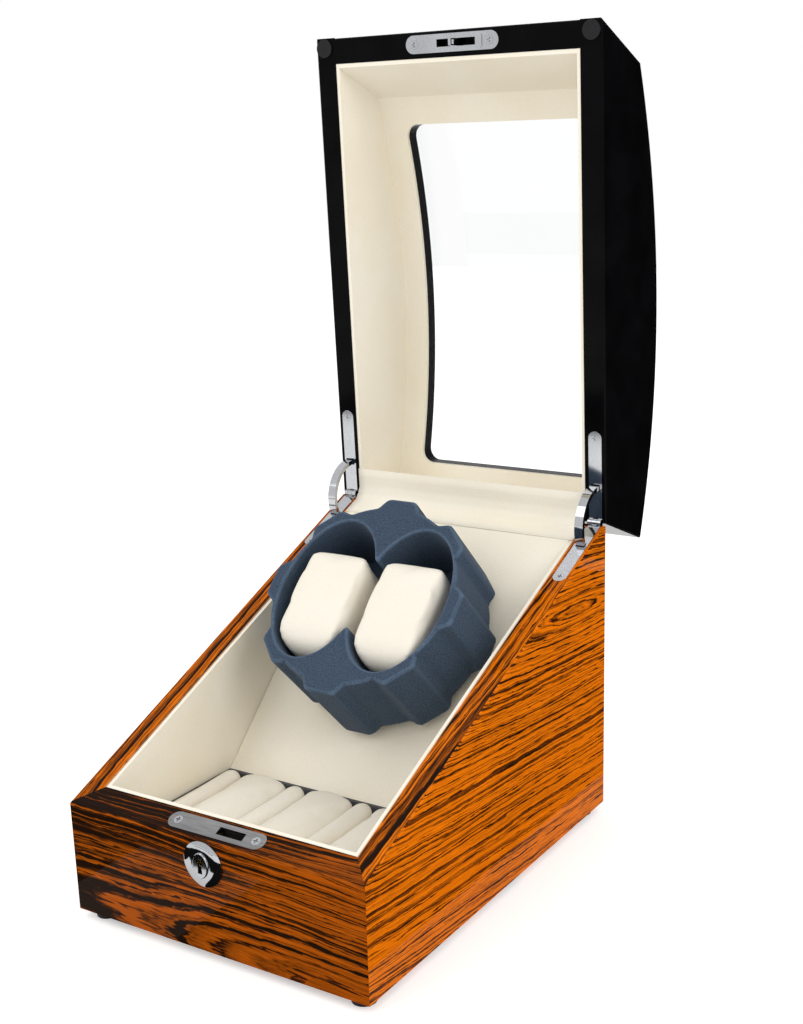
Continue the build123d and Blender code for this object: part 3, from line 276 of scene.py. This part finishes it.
ragged_bends = grain_clouds(veneer, wood_place, along=90.0, across=620.0, detail=3.0)
ring_edge = reckoned(veneer, "MULTIPLY_ADD", ragged_bends, veneer_in["Raggedness"], wandered)
ring_count = reckoned(veneer, "MULTIPLY", ring_edge, veneer_in["Stripes"])
rings = ring_streaks(veneer, ring_count, detail=2.6, roughness=0.6)

patches = grain_clouds(veneer, wood_place, along=9.0, across=30.0, detail=1.5)
fibres = grain_clouds(veneer, wood_place, along=55.0, across=2600.0, detail=2.0)
patch_weight, fibre_weight = 0.26, 0.16
ring_tone = reckoned(veneer, "MULTIPLY_ADD", patches, patch_weight, rings)
fine_tone = reckoned(veneer, "MULTIPLY_ADD", fibres, fibre_weight, ring_tone)
wood_tone = reckoned(veneer, "SUBTRACT", fine_tone, veneer_in["Depth of tone"])
middle_share = ranged(veneer, wood_tone, 0.53, 0.66, kind="SMOOTHSTEP")
bright_share = ranged(veneer, wood_tone, 0.62, 0.80, kind="SMOOTHSTEP")
dark_to_middle = between(veneer, middle_share, veneer_in["Dark"], veneer_in["Middle"])
ring_colour = between(veneer, bright_share, dark_to_middle, veneer_in["Bright"])
fibre_shade = ranged(veneer, fibres, 0.3, 0.7, at_low=0.72, at_high=1.18)
fibre_colour = multiplied(veneer, ring_colour, fibre_shade)

lines_per_ring, line_offset = 1.9, 37.0
line_count = reckoned(veneer, "MULTIPLY_ADD", ring_count, lines_per_ring, line_offset)
lines = ring_streaks(veneer, line_count, detail=1.5)
line_share = ranged(veneer, lines, 0.37, 0.48, at_low=0.95, at_high=0.0, kind="SMOOTHSTEP")
dashes = grain_clouds(veneer, wood_place, along=48.0, across=520.0, detail=3.0)
dash_share = ranged(veneer, dashes, 0.36, 0.52, kind="SMOOTHSTEP")
dark_line = reckoned(veneer, "MULTIPLY", line_share, dash_share)
veneer.links.new(between(veneer, dark_line, fibre_colour, veneer_in["Dark"]), veneer_out["Color"])
veneer.links.new(rings, veneer_out["Height"])


def grain_turn(along, across):
    depth = Vector(along).cross(Vector(across)).normalized()
    along = Vector(along).normalized()
    return Matrix((along, depth.cross(along), depth)).transposed().to_euler()


upright, across_the_case = (0, 0, 1), (1, 0, 0)
rim_slope, grain_dip = radians(24), radians(4)
rim_normal = (0, -sin(rim_slope), cos(rim_slope))
up_the_slope = (0, cos(rim_slope), sin(rim_slope))
rim_pith, rim_darkening, least_rim_facing = (0.03, 0.2, 0.1), 0.07, 0.95
# Painted highlight: the colour, strength and places of the pale lines painted along the side boards' rim
# edges.
painted_rim_highlight, rim_highlight_strength = (0.78, 0.56, 0.36, 1), 0.55
outer_rim_highlight_starts, inner_rim_highlight_ends = 0.0894, 0.0777
bright_orange, deep_orange = (0.75, 0.17, 0.003, 1), (0.40, 0.082, 0.004, 1)
side_board = {
    "grain": (0, cos(grain_dip), -sin(grain_dip)),
    "rim_turn": grain_turn(up_the_slope, across_the_case),
    "orange": bright_orange,
    "tone": -0.085,
    "darker_way": (0, -0.22, 0.25),
}
boards = {
    "right_wall": {**side_board, "pith": (0, 0.050, 0.134), "stretch": 0.13},
    "left_wall": {**side_board, "pith": (0, 0.020, 0.020), "stretch": 0.10},
    "front_wall": {
        "grain": (cos(grain_dip), 0, -sin(grain_dip)),
        "rim_turn": grain_turn(across_the_case, up_the_slope),
        "orange": deep_orange,
        "tone": 0.045,
        "darker_way": (-0.75, 0, 0.9),
        "pith": (0.30, 0, -0.012),
        "stretch": 0.07,
    },
    "back_wall": {
        "grain": across_the_case,
        "rim_turn": grain_turn(across_the_case, up_the_slope),
        "orange": bright_orange,
        "tone": -0.03,
        "darker_way": (0.1, 0, 0.1),
        "pith": (-0.10, 0, 0.090),
        "stretch": 0.12,
    },
}
for board, cut in boards.items():
    lacquered_veneer, tree, shader = new_finish(
        f"{board}_veneer", Roughness=0.45, Specular_IOR_Level=0.0,
        Coat_Weight=0.3, Coat_Roughness=0.03, Coat_IOR=1.22,
    )
    place = add_node(tree, "ShaderNodeTexCoord").outputs
    face_place, rim_place = (
        add_node(
            tree, "ShaderNodeMapping",
            {"Vector": place["Object"], "Location": pith, "Rotation": turn}, vector_type="TEXTURE",
        ).outputs[0]
        for pith, turn in (
            (cut["pith"], grain_turn(cut["grain"], upright)), (rim_pith, cut["rim_turn"])
        )
    )
    rim_facing, towards_dark = (
        add_node(
            tree, "ShaderNodeVectorMath", {0: measured, 1: direction}, operation="DOT_PRODUCT"
        ).outputs["Value"]
        for measured, direction in (
            (place["Normal"], rim_normal), (place["Object"], cut["darker_way"])
        )
    )
    on_rim = reckoned(tree, "GREATER_THAN", rim_facing, least_rim_facing)
    tone_here = reckoned(tree, "ADD", towards_dark, cut["tone"])
    figure = in_group(
        tree, veneer,
        Vector=between(tree, on_rim, face_place, rim_place, kind="VECTOR"),
        Stretch=cut["stretch"],
        Bright=cut["orange"],
        Depth_of_tone=reckoned(tree, "MULTIPLY_ADD", on_rim, rim_darkening, tone_here),
    )
    face_colour = figure["Color"]
    # The side boards get a painted highlight: pale lines along the outer and inner edges of the rim,
    # where the rounded edges catch the light.
    if board in ("left_wall", "right_wall"):
        board_x = add_node(tree, "ShaderNodeSeparateXYZ", {0: place["Object"]}).outputs["X"]
        off_centre = reckoned(tree, "ABSOLUTE", board_x)
        outer_rim_highlight = reckoned(tree, "GREATER_THAN", off_centre, outer_rim_highlight_starts)
        inner_rim_highlight = reckoned(tree, "LESS_THAN", off_centre, inner_rim_highlight_ends)
        either_rim_highlight = reckoned(tree, "MAXIMUM", outer_rim_highlight, inner_rim_highlight)
        rim_highlight_mask = reckoned(tree, "MULTIPLY", either_rim_highlight, on_rim)
        rim_highlight_share = reckoned(tree, "MULTIPLY", rim_highlight_mask, rim_highlight_strength)
        face_colour = between(tree, rim_highlight_share, face_colour, painted_rim_highlight)
    tree.links.new(face_colour, shader.inputs["Base Color"])
    bump_into(tree, shader, figure["Height"], strength=0.04, distance=0.0002)
    dress(lacquered_veneer, board)


# Floor board and bulkhead: dyed MDF panels let in between the boards, out of sight in use, with
# the fine mottled face of pressed fibre.
speckle, speckle_in, speckle_out = new_group(
    "fine_speckle",
    (
        ("Vector", "NodeSocketVector", None),
        ("Size", "NodeSocketFloat", 900.0),
        ("Low", "NodeSocketColor", (0.02, 0.02, 0.02, 1)),
        ("High", "NodeSocketColor", (0.05, 0.05, 0.05, 1)),
        ("Gloss low", "NodeSocketFloat", 0.4),
        ("Gloss high", "NodeSocketFloat", 0.6),
        ("Drift", "NodeSocketFloat", 1.0),
    ),
    (("Color", "NodeSocketColor"), ("Roughness", "NodeSocketFloat"), ("Height", "NodeSocketFloat")),
)
speckle_grain = clouds(speckle, speckle_in["Vector"], speckle_in["Size"], 3.0)
speckle_drift = clouds(speckle, speckle_in["Vector"], 35.0, 2.0)
speckle_patch = between(speckle, speckle_in["Drift"], 0.5, speckle_drift, kind="FLOAT")
speckle_mix = reckoned(speckle, "MULTIPLY", speckle_grain, speckle_patch)
speckle_share = ranged(speckle, speckle_mix, 0.12, 0.38)
speckle_colour = between(speckle, speckle_share, speckle_in["Low"], speckle_in["High"])
speckle_gloss = ranged(
    speckle, speckle_drift, 0.3, 0.7, at_low=speckle_in["Gloss low"], at_high=speckle_in["Gloss high"]
)
speckle.links.new(speckle_colour, speckle_out["Color"])
speckle.links.new(speckle_gloss, speckle_out["Roughness"])
speckle.links.new(speckle_grain, speckle_out["Height"])


def speckled_finish(name, size, low, high, gloss, bump, distance=0.0001, **shader_values):
    material, tree, shader = new_finish(name, **shader_values)
    skin = in_group(
        tree, speckle, Vector=add_node(tree, "ShaderNodeTexCoord").outputs["Object"], Size=size,
        Low=(*low, 1), High=(*high, 1), Gloss_low=gloss[0], Gloss_high=gloss[1],
    )
    tree.links.new(skin["Color"], shader.inputs["Base Color"])
    tree.links.new(skin["Roughness"], shader.inputs["Roughness"])
    bump_into(tree, shader, skin["Height"], bump, distance)
    return material


pressed_board = speckled_finish(
    "pressed_board", size=1400.0, low=(0.012, 0.012, 0.012), high=(0.05, 0.048, 0.045),
    gloss=(0.7, 0.85), bump=0.3, distance=0.0002,
)
dress(pressed_board, "floor_board", "bulkhead_board")

# Feet and rim bumpers: small moulded rubber discs, tapered under the case and flat on the lid's
# rim, glued on.
moulded_rubber = speckled_finish(
    "moulded_rubber", size=1800.0, low=(0.004, 0.004, 0.005), high=(0.013, 0.013, 0.015),
    gloss=(0.45, 0.6), bump=0.25, Specular_IOR_Level=0.2,
)
dress(moulded_rubber, "feet", "rim_bumpers")


# Leather linings: soft cream leatherette on thin card, glued to the boards of the case and the
# lid, with a fine pebbled grain and slightly warmer patches.
leather, leather_in, leather_out = new_group(
    "leather_grain",
    (
        ("Vector", "NodeSocketVector", None),
        ("Pale", "NodeSocketColor", (0.95, 0.895, 0.775, 1)),
        ("Warm", "NodeSocketColor", (0.93, 0.86, 0.71, 1)),
    ),
    (("Color", "NodeSocketColor"), ("Height", "NodeSocketFloat")),
)
hide_place, crease_height = leather_in["Vector"], 0.6
pebbles = add_node(
    leather, "ShaderNodeTexVoronoi", {"Vector": hide_place, "Scale": 1100.0}
).outputs["Distance"]
creases = clouds(leather, hide_place, 420.0, 4.0)
warm_share = ranged(leather, clouds(leather, hide_place, 22.0, 2.0), 0.35, 0.7)
hide_colour = between(leather, warm_share, leather_in["Pale"], leather_in["Warm"])
pebble_shade = ranged(leather, pebbles, 0.0, 0.7, at_low=1.0, at_high=0.955)
hide_height = reckoned(leather, "MULTIPLY_ADD", creases, crease_height, pebbles)
leather.links.new(multiplied(leather, hide_colour, pebble_shade), leather_out["Color"])
leather.links.new(hide_height, leather_out["Height"])


def leather_finish(name, pale, warm):
    material, tree, shader = new_finish(name, Roughness=0.52, Specular_IOR_Level=0.25)
    place = add_node(tree, "ShaderNodeTexCoord").outputs["Object"]
    hide = in_group(tree, leather, Vector=place, Pale=(*pale, 1), Warm=(*warm, 1))
    tree.links.new(hide["Color"], shader.inputs["Base Color"])
    bump_into(tree, shader, hide["Height"], strength=0.22, distance=0.0002)
    return material


cream_leather = leather_finish("cream_leather", (0.95, 0.895, 0.775), (0.93, 0.86, 0.71))
dress(
    cream_leather,
    "left_lining", "right_lining", "front_lining", "drum_panel",
    "lid_left_lining", "lid_right_lining", "lid_front_lining", "lid_rear_lining", "lid_top_lining",
)


# Tray: a moulded liner with its rim and walls flocked dark grey, dropped in between the front
# lining and the drum panel.
def flocked_finish(name, low, high, fuzz, edge_highlight_colour=None):
    material, tree, shader = new_finish(
        name, Roughness=0.95, Specular_IOR_Level=0.1, Sheen_Weight=fuzz, Sheen_Roughness=0.45
    )
    place = add_node(tree, "ShaderNodeTexCoord").outputs["Object"]
    skin = in_group(
        tree, speckle, Vector=place, Size=1500.0, Low=(*low, 1), High=(*high, 1), Drift=0.12
    )
    skin_colour, edge_highlight_weight = skin["Color"], 0.45
    # Painted highlight: a paler colour is laid over the flock where the edge-highlight attribute is
    # high.
    if edge_highlight_colour:
        edge_highlight_attribute = add_node(tree, "ShaderNodeAttribute", attribute_name="painted_edge_highlight")
        edge_highlight_share = reckoned(tree, "MULTIPLY", edge_highlight_attribute.outputs["Fac"], edge_highlight_weight)
        skin_colour = between(tree, edge_highlight_share, skin_colour, (*edge_highlight_colour, 1))
    tree.links.new(skin_colour, shader.inputs["Base Color"])
    bump_into(tree, shader, skin["Height"], strength=0.6, distance=0.0003)
    return material


grey_flock = flocked_finish("grey_flock", (0.045, 0.045, 0.05), (0.13, 0.13, 0.14), fuzz=0.15)
dress(grey_flock, "tray")


# Tray bolsters and cushions: foam cut to shape and sewn into cream leather, with soft crowned
# tops, pressed side by side into the tray so that watches lie over them.
def merged_copy(node, name, shrink):
    shape = bmesh.new()
    shape.from_mesh(nodes[node].data)
    bmesh.ops.remove_doubles(shape, verts=shape.verts, dist=0.00001)
    shape.normal_update()
    for vertex in shape.verts:
        vertex.co -= vertex.normal * shrink
    mesh = bpy.data.meshes.new(name)
    shape.to_mesh(mesh)
    shape.free()
    piece = bpy.data.objects.new(name, mesh)
    scene.collection.objects.link(piece)
    return piece


def apply_modifiers(piece):
    bpy.context.view_layer.update()
    evaluated = piece.evaluated_get(bpy.context.evaluated_depsgraph_get())
    finished = bpy.data.meshes.new_from_object(evaluated)
    piece.modifiers.clear()
    piece.data = finished


def evened_out(piece, rounds):
    smooth = piece.modifiers.new("evened", "SMOOTH")
    smooth.factor = 0.5
    smooth.iterations = rounds


def remeshed(piece, voxel, lean):
    upright_to_lean = Matrix.Rotation(lean, 4, "X")
    piece.data.transform(upright_to_lean.inverted())
    remesh = piece.modifiers.new("remesh", "REMESH")
    remesh.mode = "VOXEL"
    remesh.voxel_size = voxel
    remesh.use_smooth_shade = True
    evened_out(piece, rounds=3)
    apply_modifiers(piece)
    piece.data.transform(upright_to_lean)


def blown_up(piece, pressure, most, room, box, shoulder):
    before = [vertex.co.copy() for vertex in piece.data.vertices]
    cloth = piece.modifiers.new("cloth", "CLOTH")
    cloth.settings.quality = 5
    cloth.settings.mass = 0.02
    cloth.settings.use_pressure = True
    cloth.settings.uniform_pressure_force = pressure
    cloth.settings.effector_weights.gravity = 0
    last_frame = 20
    for frame_number in range(1, last_frame + 1):
        scene.frame_set(frame_number)
    blown = piece.evaluated_get(bpy.context.evaluated_depsgraph_get()).to_mesh()
    after = [vertex.co.copy() for vertex in blown.vertices]
    piece.modifiers.remove(cloth)
    scene.frame_set(1)
    low, high = box
    shoulder_depth, shoulder_rise = 0.0045, 0.0035
    for vertex, start, end in zip(piece.data.vertices, before, after):
        step = end - start
        if step.length > most:
            step *= most / step.length
        above = min(max((start.z - high.z + shoulder_depth) / shoulder_rise, 0.0), 1.0)
        spread = (room[0] + shoulder * above, room[1], room[2])
        vertex.co = [
            min(max(value, low[i] - spread[i]), high[i] + spread[i])
            for i, value in enumerate(start + step)
        ]
    piece.data.update()


def covered(piece, material):
    piece.data.materials.clear()
    piece.data.materials.append(material)
    for polygon in piece.data.polygons:
        polygon.use_smooth = True


def padded_piece(
    node, name, body, voxel, shrink, pressure, most, room, shoulder=0.0, lean=0.0
):
    piece = merged_copy(node, name, shrink)
    remeshed(piece, voxel, lean)
    blown_up(piece, pressure, most, room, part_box(node), shoulder)
    evened_out(piece, rounds=3)
    apply_modifiers(piece)
    rounding = piece.modifiers.new("rounding", "SUBSURF")
    rounding.levels = rounding.render_levels = 1
    covered(piece, pad_leather)
    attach(piece, body)
    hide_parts(node)


pad_leather = leather_finish("pad_leather", (0.91, 0.86, 0.76), (0.885, 0.825, 0.71))
for side in ("left", "middle", "right"):
    padded_piece(
        f"tray_cushion_{side}", f"sewn_cushion_{side}", f"{side}_cushion",
        voxel=0.0020, shrink=0.0004, pressure=24.0, most=0.0034,
        room=(0.0001, 0.0006, 0.0020), shoulder=0.0024,
    )
padded_piece(
    "tray_bolsters", "sewn_bolsters", "case",
    voxel=0.0016, shrink=0.0003, pressure=6.0, most=0.0006,
    room=(0.0001, 0.0003, 0.0004),
)


# Drum: moulded foam with eight lobes and two oval watch pockets, flocked slate blue, its edges a
# little rounded and lightened with a painted highlight where the mesh bends sharply, glued to a nylon
# hub.
panel_lean = radians(44.5)
drum_shape = merged_copy("drum_foam", "flocked_drum", 0.0)
remeshed(drum_shape, 0.0009, panel_lean)
curved = bmesh.new()
curved.from_mesh(drum_shape.data)
curved.normal_update()
# Painted highlight mask: how far each vertex stands out from its neighbours, scaled from 0 to 1,
# lightens the drum's sharp edges.
least_bulge, full_bulge = 0.00002, 0.00010
edge_highlight_values = []
for vertex in curved.verts:
    around = [edge.other_vert(vertex).co for edge in vertex.link_edges]
    bulge = (vertex.co - sum(around, Vector()) / len(around)).dot(vertex.normal)
    edge_highlight_values.append(min(max((bulge - least_bulge) / (full_bulge - least_bulge), 0.0), 1.0))
curved.free()
edge_highlight_layer = drum_shape.data.attributes.new("painted_edge_highlight", "FLOAT", "POINT")
edge_highlight_layer.data.foreach_set("value", edge_highlight_values)
slate_flock = flocked_finish(
    "slate_flock", (0.022, 0.037, 0.062), (0.072, 0.105, 0.155), fuzz=0.06,
    edge_highlight_colour=(0.1512, 0.2205, 0.3255),
)
covered(drum_shape, slate_flock)
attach(drum_shape, "drum")
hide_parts("drum_foam")

# Watch pillows: foam blocks with a broad rounded nose, in cream leather, that push into the
# drum's pockets with a watch strapped around them.
for side in ("left", "right"):
    padded_piece(
        f"watch_pillow_{side}", f"sewn_pillow_{side}", f"{side}_pillow",
        voxel=0.0018, shrink=0.0005, pressure=10.0, most=0.0016,
        room=(0.0006, 0.0008, 0.0010), lean=panel_lean,
    )

# Drive: a nylon hub moulded in one with its shaft, a nylon gear fixed on it, a brass pinion and
# bushes, and a small gearmotor on a steel plate held off the panel by four posts.
natural_nylon = speckled_finish(
    "natural_nylon", size=700.0, low=(0.72, 0.71, 0.66), high=(0.84, 0.83, 0.79),
    gloss=(0.38, 0.5), bump=0.1,
)
dress(natural_nylon, "drum_hub", "drum_gear")


def brushed_finish(name, low, high, gloss, stretch, bump):
    material, tree, shader = new_finish(name, Metallic=1.0)
    place = add_node(tree, "ShaderNodeTexCoord").outputs["Object"]
    drawn = add_node(tree, "ShaderNodeMapping", {"Vector": place, "Scale": stretch}).outputs[0]
    skin = in_group(
        tree, speckle, Vector=drawn, Size=1500.0,
        Low=(*low, 1), High=(*high, 1), Gloss_low=gloss[0], Gloss_high=gloss[1],
    )
    tree.links.new(skin["Color"], shader.inputs["Base Color"])
    tree.links.new(skin["Roughness"], shader.inputs["Roughness"])
    bump_into(tree, shader, skin["Height"], bump, distance=0.00005)
    return material


machined_brass = brushed_finish(
    "machined_brass", low=(0.60, 0.42, 0.15), high=(0.78, 0.60, 0.28),
    gloss=(0.18, 0.32), stretch=(1.0, 0.1, 1.0), bump=0.1,
)
satin_steel = brushed_finish(
    "satin_steel", low=(0.20, 0.20, 0.205), high=(0.36, 0.36, 0.365),
    gloss=(0.28, 0.42), stretch=(0.06, 1.0, 1.0), bump=0.15,
)
dress(machined_brass, "motor_pinion", "shaft_bushes")
dress(satin_steel, "gearmotor", "motor_plate", "plate_standoffs")

# Lock and hinge fittings: the lock's plate and case in satin steel with a brass plug and bolt, and
# the rest pressed and turned, polished and chromed, held with countersunk cross-head screws.
polished_chrome = brushed_finish(
    "polished_chrome", low=(0.38, 0.39, 0.41), high=(0.52, 0.53, 0.55),
    gloss=(0.05, 0.10), stretch=(1.0, 1.0, 1.0), bump=0.02,
)
dress(satin_steel, "lock_plate", "lock_case")
dress(machined_brass, "key_plug", "lock_bolt")
dress(
    polished_chrome,
    "escutcheon", "case_screws", "lid_screws", "strike_plate", "hinge_pins",
    "case_hinge_leaf_left", "case_hinge_leaf_right", "lid_hinge_leaf_left", "lid_hinge_leaf_right",
    "hinge_arm_left", "hinge_arm_right",
)

# Controls at the back: a moulded plate with the power inlet and a rotary mode switch, its knob and
# a green circuit board behind them.
moulded_plastic = speckled_finish(
    "moulded_plastic", size=1300.0, low=(0.010, 0.010, 0.011), high=(0.030, 0.030, 0.032),
    gloss=(0.35, 0.5), bump=0.3,
)
solder_mask = speckled_finish(
    "solder_mask", size=500.0, low=(0.012, 0.13, 0.05), high=(0.03, 0.24, 0.10),
    gloss=(0.25, 0.4), bump=0.2,
)
dress(moulded_plastic, "control_panel", "power_inlet", "mode_switch", "mode_knob")
dress(solder_mask, "circuit_board")

# Lid boards: MDF with a bowed top, sprayed and polished in black piano lacquer, which shows only
# the faintest mottling under its shine.
piano_lacquer = speckled_finish(
    "piano_lacquer", size=60.0, low=(0.0015, 0.0015, 0.0018), high=(0.003, 0.003, 0.0036),
    gloss=(0.04, 0.09), bump=0.01, Specular_IOR_Level=0.035,
)
dress(
    piano_lacquer,
    "lid_left_wall", "lid_right_wall", "lid_front_rail", "lid_rear_rail", "lid_bowed_board",
)

# Window: a pane of clear acrylic with a trace of haze, bent to the curve of the lid's top board and
# let into a rebate around its opening.
clear_pane, pane_tree, pane_shader = new_finish(
    "clear_pane", Roughness=0.02, Transmission_Weight=1.0, IOR=1.35
)
pane_place = add_node(pane_tree, "ShaderNodeTexCoord").outputs["Object"]
pane_haze = clouds(pane_tree, pane_place, 30.0, 2.0)
pane_tint = between(pane_tree, pane_haze, (0.965, 0.975, 0.98, 1), (0.99, 0.995, 0.995, 1))
pane_tree.links.new(pane_tint, pane_shader.inputs["Base Color"])
dress(clear_pane, "lid_window")

# Leather flap: one strip glued over both rims at the hinge, which hides the joint; on the real case it
# bends as the lid turns, and here it is one fixed sheet folded between the knuckles at the lid's pose.
pivot = Vector((0, 0.08951, 0.173902))
case_along = Vector((0, -cos(rim_slope), -sin(rim_slope)))
case_into = Vector((0, sin(rim_slope), -cos(rim_slope)))
lid_along = Vector((0, -0.034899, 0.999391))
lid_into = Vector((0, 0.999391, 0.034899))
flap_mid_depth, flap_thickness, flap_half_width = 0.0004, 0.0006, 0.0772
glue_line_end, lid_flap_reach = 0.0024, 0.0162
case_flap_span = (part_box("case_flap")[1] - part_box("case_flap")[0]).to_2d().y
case_flap_reach = case_flap_span / cos(rim_slope) + glue_line_end
glued_at = (0.011, 0.007, 0.0045)
outwards, crown_height, fold_height, fold_reach = case_along + lid_along, 0.0014, 0.0012, 0.0014
flap_path = [
    *(pivot + case_along * reach + case_into * flap_mid_depth for reach in (case_flap_reach, *glued_at)),
    pivot + outwards * fold_height + case_along * fold_reach,
    pivot + outwards * crown_height,
    pivot + outwards * fold_height + lid_along * fold_reach,
    *(
        pivot + lid_along * reach + lid_into * flap_mid_depth
        for reach in (*reversed(glued_at), lid_flap_reach)
    ),
]
flap_steps = [there - here for here, there in zip(flap_path, flap_path[1:])]
flap_shape = bmesh.new()
flap_ends = [
    flap_shape.verts.new(flap_path[0] + Vector((x, 0, 0))) for x in (-flap_half_width, flap_half_width)
]
first_edge = flap_shape.edges.new(flap_ends)
bmesh.ops.subdivide_edges(flap_shape, edges=[first_edge], cuts=30)
flap_edge = list(flap_shape.edges)
for flap_step in flap_steps:
    grown = bmesh.ops.extrude_edge_only(flap_shape, edges=flap_edge)["geom"]
    new_points = [item for item in grown if isinstance(item, bmesh.types.BMVert)]
    bmesh.ops.translate(flap_shape, verts=new_points, vec=flap_step)
    flap_edge = [item for item in grown if isinstance(item, bmesh.types.BMEdge)]
flap_mesh = bpy.data.meshes.new("leather_flap")
flap_shape.to_mesh(flap_mesh)
flap_shape.free()
leather_flap = bpy.data.objects.new("leather_flap", flap_mesh)
scene.collection.objects.link(leather_flap)
flap_skin = leather_flap.modifiers.new("thickness", "SOLIDIFY")
flap_skin.thickness = flap_thickness
flap_skin.offset = 0.0
covered(leather_flap, cream_leather)
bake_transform(leather_flap)
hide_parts("case_flap", "lid_flap")
